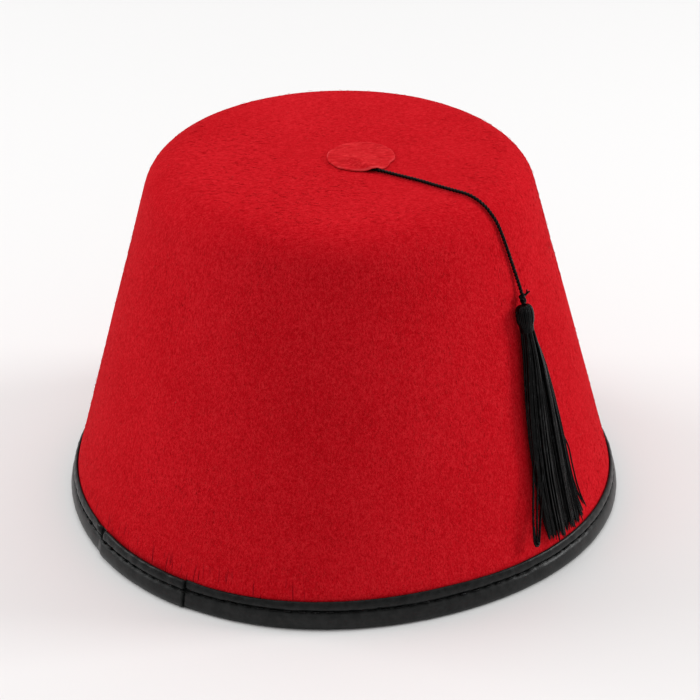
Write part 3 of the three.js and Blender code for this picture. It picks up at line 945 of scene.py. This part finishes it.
leather, leather_tree, leather_shader = new_finish("black_leatherette", {})
leather_place = leather_tree.nodes.new("ShaderNodeTexCoord").outputs["Object"]
pores = place_node(
    leather_tree, "ShaderNodeTexVoronoi", {"Vector": leather_place, "Scale": 1900, "Randomness": 0.9}
)
worn = place_node(
    leather_tree, "ShaderNodeTexNoise",
    {"Vector": leather_place, "Scale": 420, "Detail": 4, "Roughness": 0.65},
)
leather_colour = colour_steps(
    leather_tree, worn.outputs["Fac"], [(0.38, (0.002, 0.0025, 0.0025)), (0.62, (0.0095, 0.010, 0.010))]
)
leather_tree.links.new(leather_colour, leather_shader.inputs["Base Color"])
leather_gloss = place_node(
    leather_tree, "ShaderNodeMapRange", {"Value": worn.outputs["Fac"], "To Min": 0.26, "To Max": 0.44}
)
leather_tree.links.new(leather_gloss.outputs["Result"], leather_shader.inputs["Roughness"])
# Painted shade: the leather's gloss is turned down where light doesn't reach.
seam_shade = place_node(leather_tree, "ShaderNodeAttribute", {}, attribute_name="seam_painted_shade")
leather_shine = place_node(
    leather_tree, "ShaderNodeMapRange", {"Value": seam_shade.outputs["Fac"], "To Min": 0.25, "To Max": 0.02}
)
leather_tree.links.new(leather_shine.outputs["Result"], leather_shader.inputs["Specular IOR Level"])
grain = place_node(
    leather_tree, "ShaderNodeMix", {"Factor": 0.5, "A": pores.outputs["Distance"], "B": worn.outputs["Fac"]}
)
emboss(leather_tree, leather_shader, grain.outputs["Result"], 0.1 * MM, 0.6)
binding.data.materials.append(leather)
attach(binding, "root")
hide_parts("rim_binding")


# ---- Binding stitches ----
# A lockstitch in black thread runs round the groove: each stitch is a low dash that dips into a needle hole.

STITCH_LENGTH = 3.3 * MM
STITCH_RADIUS = 0.27 * MM
STITCH_Z = 6.38 * MM
STITCH_OUT = 0.6 * MM
THREAD_KNOTS = (108, 112)  # stitches where the thread was knotted, on each side of the lap's start

bpy.ops.object.select_all(action="DESELECT")
bpy.ops.mesh.primitive_uv_sphere_add(segments=8, ring_count=7, radius=1.0)
stitches = bpy.context.object
stitches.name = "sewn_stitches"
bpy.ops.transform.resize(value=(STITCH_RADIUS, STITCH_LENGTH / 2, STITCH_RADIUS))
bpy.ops.transform.rotate(value=TAPER, orient_axis="Y", center_override=(0, 0, 0))
bpy.ops.object.transform_apply(location=True, rotation=True, scale=True)
stitch_shape = read_places(stitches)
stitch_sides = [tuple(face.vertices) for face in stitches.data.polygons]
stitch_random = random.Random(7)
stitch_places = []
stitch_faces = []
for i in range(STITCH_COUNT):
    angle = 2 * math.pi * i / STITCH_COUNT
    turn = np.array(Matrix.Rotation(angle - math.pi / 2, 3, "Z"))
    tilted = stitch_shape.copy()
    tilted[:, [0, 2]] *= stitch_random.uniform(0.75, 1.45) * (1.9 if i in THREAD_KNOTS else 1)
    tilted[:, 2] += tilted[:, 1] * stitch_random.uniform(-0.1, 0.1)
    on_lap = LAP_START < angle - (2 * math.pi if angle > math.pi else 0) < LAP_END
    tilted[:, 0] += wall_radius(STITCH_Z) + STITCH_OUT + (LAP_OUT if on_lap else 0)
    tilted[:, 2] += STITCH_Z + stitch_random.uniform(-0.14, 0.14) * MM
    start = len(stitch_shape) * i
    stitch_places.append(swollen(tilted @ turn.T))
    stitch_faces += [tuple(start + corner for corner in face) for face in stitch_sides]
sewn_mesh = bpy.data.meshes.new("sewn_stitches")
sewn_mesh.from_pydata(np.concatenate(stitch_places).tolist(), [], stitch_faces)
stitches.data = sewn_mesh
bpy.ops.object.shade_smooth()
stitches.data.materials.append(black_floss)
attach(stitches, "root")


# ---- Felt patch ----
# A disc of thin, lighter red felt glued over the cord's start. Its edge lifts over the cord, and it was cut
# with a blunt corner beside it.

PATCH_RADIUS = 11.3 * MM
PATCH_AT = (7.15 * MM, -3.6 * MM)
PATCH_THICK = 0.75 * MM
PATCH_ABOVE = 0.12 * MM  # glue under it
PATCH_COLUMNS = 192
CORD_EXIT = math.radians(-64)  # where the cord comes out, from +X
CUT_CORNER = math.radians(-47)  # where two straight cuts meet
FLAT_CUT = CUT_CORNER + 0.38  # the middle of the straight cut beside the corner


def round_bump(angles, centre, width):
    """1 at the centre's angle, falling smoothly to 0 over a few widths on either side."""
    return np.exp(-(np.angle(np.exp(1j * (angles - centre))) / width) ** 2)


patch_edge = PATCH_THICK / 2
patch_rings = [(POLE, 0), (4 * MM, 0), (7 * MM, 0), (9 * MM, 0), (10.2 * MM, 0)]
for i in range(7):
    angle = -math.pi / 2 + math.pi * i / 6
    patch_rings.append((
        PATCH_RADIUS - patch_edge * (1 - math.cos(angle)), patch_edge + patch_edge * math.sin(angle)
    ))
patch_top = (10.8, 10.2, 9.4, 8.4, 7.2, 6, 4.8, 3.6, 2.4, 1.2, 0.3)
patch_rings += [(radius * MM, PATCH_THICK) for radius in patch_top]
patch = raise_rings("felt_patch", PATCH_COLUMNS, patch_rings)
patch_places = read_places(patch)
patch_angle = np.arctan2(patch_places[:, 1], patch_places[:, 0])
patch_out = np.hypot(patch_places[:, 0], patch_places[:, 1])
near_edge = (patch_out / PATCH_RADIUS) ** 2
corner = round_bump(patch_angle, CUT_CORNER, 0.14)
over_exit = round_bump(patch_angle, CORD_EXIT, 0.3)
beside = round_bump(patch_angle, FLAT_CUT, 0.16)
ragged = np.array([
    noise.noise(Vector((math.cos(a) * 3, math.sin(a) * 3, 0))) * 0.022
    + noise.noise(Vector((math.cos(a) * 16, math.sin(a) * 16, 2))) * 0.009 for a in patch_angle
])
patch_scale = 1 + (0.03 * corner + 0.075 * over_exit - 0.045 * beside + ragged) * near_edge
wavy = np.array([noise.noise(Vector((x * 260, y * 260, 0.5))) for x, y, z in patch_places])
patch_places[:, 0] *= patch_scale
patch_places[:, 1] *= patch_scale
patch_places += np.array([*PATCH_AT, CROWN_HEIGHT + PATCH_ABOVE])
cord_start = cord_line[:40]
cord_top = cord_start[:, 2].max() + CORD_DIAMETER / 2
from_cord = np.array([np.linalg.norm(cord_start[:, :2] - place[:2], axis=1).min() for place in patch_places])
lifted = np.exp(-(np.maximum(from_cord - 0.5 * MM, 0) / (1.2 * MM)) ** 2)
over_cord = (cord_top - CROWN_HEIGHT - PATCH_ABOVE) * lifted
patch_places[:, 2] += over_cord + 0.14 * wavy * near_edge * MM
patch_places[:, 1] -= 0.75 * over_cord * near_edge
write_places(patch, patch_places)
# The band along the cut edge that is painted lighter, broken up by noise.
edge_band = np.exp(-((patch_out - PATCH_RADIUS + 0.1 * MM) / (0.3 * MM)) ** 2)
edge_band *= np.clip(0.45 + 1.2 * wavy, 0, 1)
mark_points(patch, "cut_edge", 0.65 * edge_band)

patch_felt = felt_finish(
    "patch_felt", (0.37, 0.005, 0.008), (0.47, 0.0085, 0.013), (0.65, 0.022, 0.030), nap_scale=1500,
    wall=False, cut_edge="cut_edge",
)
patch.data.materials.append(patch_felt)
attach(patch, "root")
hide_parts("top_disc")


# ---- Studio ----
# A plain pale floor under soft light: a broad overhead panel, a large panel from the back left and one from
# the right, and an even pale surround.

FLOOR_SHADE = 0.80

bpy.ops.object.select_all(action="DESELECT")
bpy.ops.mesh.primitive_plane_add(size=8)
floor = bpy.context.object
floor.name = "floor"
floor_colour = (FLOOR_SHADE, FLOOR_SHADE, FLOOR_SHADE, 1)
floor_finish = new_finish("floor_finish", {"Base Color": floor_colour, "Roughness": 0.8})[0]
floor.data.materials.append(floor_finish)


def soft_panel(name, place, size, power, aim=(0, 0, 0.05)):
    """A square light panel that faces the hat."""
    bpy.ops.object.light_add(type="AREA", location=place)
    panel = bpy.context.object
    panel.name = name
    panel.data.size = size
    panel.data.energy = power
    panel.rotation_euler = (Vector(aim) - Vector(place)).to_track_quat("-Z", "Y").to_euler()


soft_panel("overhead_panel", (0.0, 0.1, 1.5), 1.4, 6.8)
soft_panel("back_left_panel", (-1.3, 0.35, 0.85), 0.8, 9.6)
soft_panel("right_panel", (1.25, 0.1, 0.62), 0.42, 9)

surround = bpy.data.worlds.new("pale_surround")
surround.use_nodes = True
sky = surround.node_tree.nodes["Background"]
sky.inputs["Color"].default_value = (1.0, 0.99, 0.985, 1)
sky.inputs["Strength"].default_value = 0.6
bpy.context.scene.world = surround
